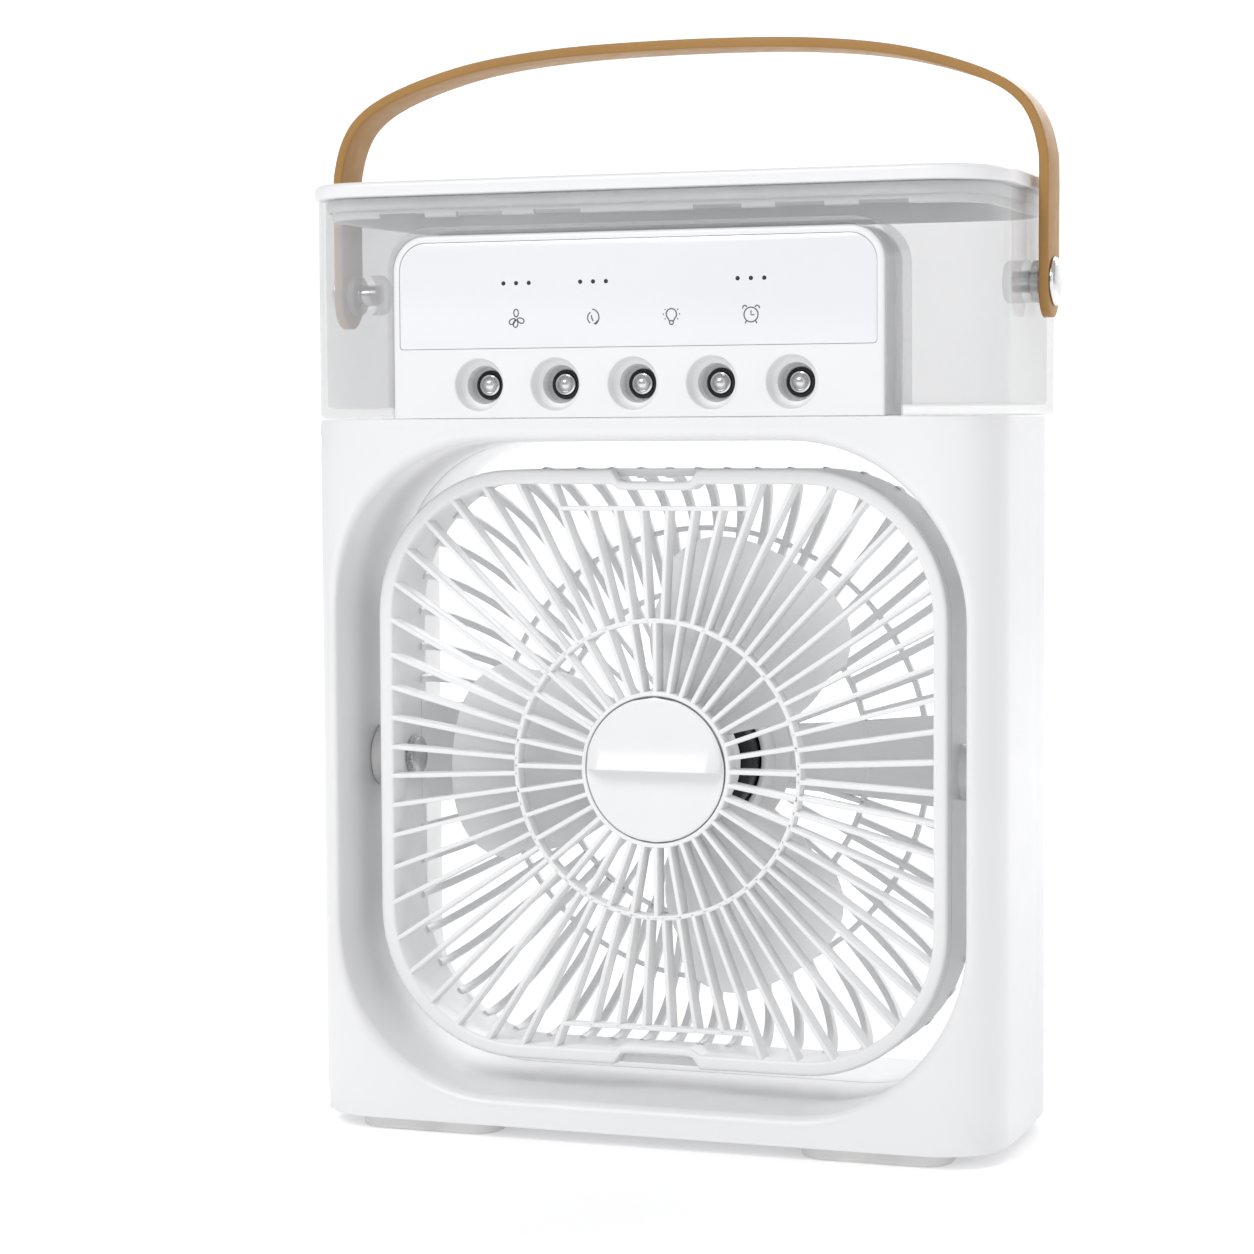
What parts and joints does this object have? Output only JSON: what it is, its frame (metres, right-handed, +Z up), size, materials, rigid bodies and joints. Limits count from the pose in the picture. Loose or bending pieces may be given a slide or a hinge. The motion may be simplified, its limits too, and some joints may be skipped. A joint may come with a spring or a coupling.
{
  "type": "desktop evaporative fan",
  "caption": "Boxy desktop cooling fan with an open frame, a tilting square fan head, a clear water tank with a row of mist nozzles, a flat lid and a tan carrying strap.",
  "frame": {"origin": "on the floor under the middle of the body, the centre of the bounding box's bottom face", "axes": "+Z up, front of the fan towards -Y, +X to the right of someone facing its back, so the widest side runs along X"},
  "size_m": [0.2206, 0.094, 0.3127],
  "materials": {
    "front_frame": "white moulded ABS, satin gloss",
    "rear_frame": "white moulded ABS, satin gloss",
    "control_panel": "white moulded ABS, satin gloss",
    "panel_back_cover": "white moulded ABS, satin gloss",
    "control_face_plate": "bluish white clear-coated overlay, glossy",
    "circuit_board": "green solder mask with black chips",
    "led_board": "white light board",
    "power_inlet": "stamped steel socket shell",
    "foot": "pale grey rubber",
    "shell_screw": "zinc plated",
    "pivot_bush": "white acetal",
    "pivot_pin": "turned steel",
    "water_tank": "clear moulded plastic, polished; glass stands in for clear polystyrene",
    "tank_lid": "white moulded ABS, satin gloss",
    "lid_gasket": "translucent silicone",
    "handle_strap": "tan moulded plastic, satin",
    "handle_rivet": "polished cap",
    "handle_washer": "white acetal",
    "mist_nozzle": "bright domed disc",
    "nozzle_seal": "black silicone",
    "wick": "cotton fibre rod",
    "front_grille": "white moulded ABS, satin gloss",
    "hub_cap": "white moulded ABS, satin gloss",
    "head_shell": "white moulded ABS, satin gloss",
    "motor_can": "black coated steel",
    "motor_screw": "zinc plated",
    "motor_shaft": "ground steel",
    "impeller": "light grey polypropylene",
    "spinner_nut": "black nylon"
  },
  "bodies": {
    "body": {"circuit_board": "circuit_board", "control_face_plate": "control_face_plate", "control_panel": "control_panel", "foot_front_left": "foot", "foot_front_right": "foot", "foot_rear_left": "foot", "foot_rear_right": "foot", "front_frame": "front_frame", "led_board": "led_board", "mist_nozzle_1": "mist_nozzle", "mist_nozzle_2": "mist_nozzle", "mist_nozzle_3": "mist_nozzle", "mist_nozzle_4": "mist_nozzle", "mist_nozzle_5": "mist_nozzle", "nozzle_seal_1": "nozzle_seal", "nozzle_seal_2": "nozzle_seal", "nozzle_seal_3": "nozzle_seal", "nozzle_seal_4": "nozzle_seal", "nozzle_seal_5": "nozzle_seal", "panel_back_cover": "panel_back_cover", "pivot_bush_left": "pivot_bush", "pivot_bush_right": "pivot_bush", "power_inlet": "power_inlet", "rear_frame": "rear_frame", "shell_screw_1": "shell_screw", "shell_screw_2": "shell_screw", "shell_screw_3": "shell_screw", "shell_screw_4": "shell_screw", "water_tank": "water_tank", "wick_1": "wick", "wick_2": "wick", "wick_3": "wick", "wick_4": "wick", "wick_5": "wick"},
    "lid": {"tank_lid": "tank_lid", "lid_gasket": "lid_gasket"},
    "handle": {"handle_strap": "handle_strap", "handle_rivet_left": "handle_rivet", "handle_rivet_right": "handle_rivet", "handle_washer_left": "handle_washer", "handle_washer_right": "handle_washer"},
    "fan_head": {"front_grille": "front_grille", "head_shell": "head_shell", "hub_cap": "hub_cap", "motor_can": "motor_can", "motor_screw_1": "motor_screw", "motor_screw_2": "motor_screw", "motor_screw_3": "motor_screw", "pivot_pin_left": "pivot_pin", "pivot_pin_right": "pivot_pin"},
    "impeller": {"impeller": "impeller", "motor_shaft": "motor_shaft", "spinner_nut": "spinner_nut"}
  },
  "joints": [
    {"name": "handle_swing", "type": "hinge", "parent": "body", "child": "handle", "pos_m": [0, 0, 0.242], "axis": [1, 0, 0], "range_deg": [-90, 90]},
    {"name": "lid_lift", "type": "slide", "parent": "body", "child": "lid", "axis": [0, 0, 1], "range_m": [0, 0.008]},
    {"name": "head_tilt", "type": "hinge", "parent": "body", "child": "fan_head", "pos_m": [0, -0.009, 0.1053], "axis": [1, 0, 0], "range_deg": [-45, 45]},
    {"name": "impeller_spin", "type": "hinge", "parent": "fan_head", "child": "impeller", "pos_m": [0, 0, 0.1053], "axis": [0, 1, 0], "continuous": true}
  ]
}
